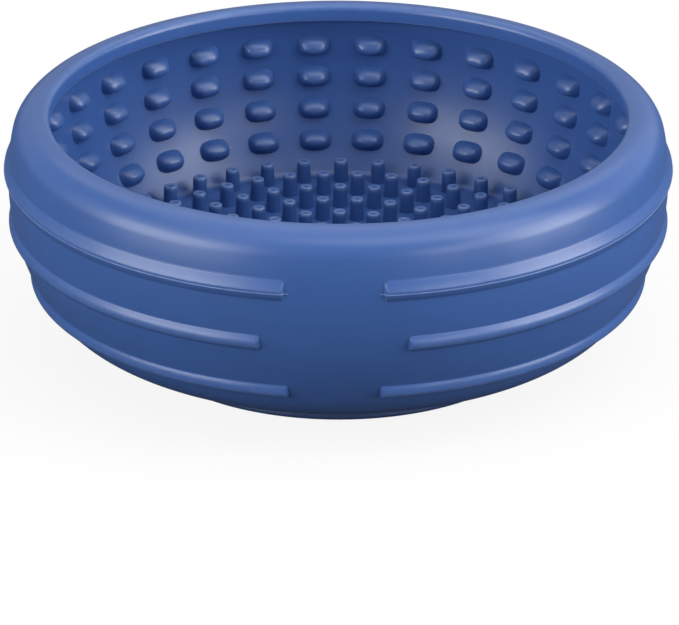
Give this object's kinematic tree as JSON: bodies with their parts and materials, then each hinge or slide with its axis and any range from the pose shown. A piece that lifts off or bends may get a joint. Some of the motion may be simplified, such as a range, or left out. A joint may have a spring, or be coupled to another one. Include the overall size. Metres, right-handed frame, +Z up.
{
  "type": "lick mat",
  "caption": "Bowl-shaped silicone lick mat with a thick rolled rim, grip ribs outside, soft nubs on the inner wall and upright pegs on the floor, standing on a foot ring.",
  "frame": {"origin": "on the ground, in the middle of the foot ring", "axes": "+Z up out of the bowl, -Y towards the bare panel between the ends of the ribs"},
  "size_m": [0.1598, 0.159, 0.0595],
  "materials": {
    "silicone_outside": "satin silicone rubber, slightly dusty, navy blue",
    "silicone_floor": "satin silicone rubber, navy blue",
    "silicone_foot": "satin silicone rubber, rubbed where it stands",
    "silicone_nubs": "smooth satin silicone rubber",
    "silicone_pegs": "smooth satin silicone rubber"
  },
  "bodies": {
    "root": {"rim_roll": "silicone_outside", "rim_lip": "silicone_outside", "side_wall": "silicone_outside", "bowl_floor": "silicone_floor", "foot_ring": "silicone_foot", "upper_rib": "silicone_outside", "middle_rib": "silicone_outside", "lower_rib": "silicone_outside", "nub_row_1": "silicone_nubs", "nub_row_2": "silicone_nubs", "nub_row_3": "silicone_nubs", "nub_row_4": "silicone_nubs", "peg_ring_1": "silicone_pegs", "peg_ring_2": "silicone_pegs", "peg_ring_3": "silicone_pegs", "peg_ring_4": "silicone_pegs", "peg_ring_5": "silicone_pegs", "peg_ring_6": "silicone_pegs"}
  },
  "joints": []
}
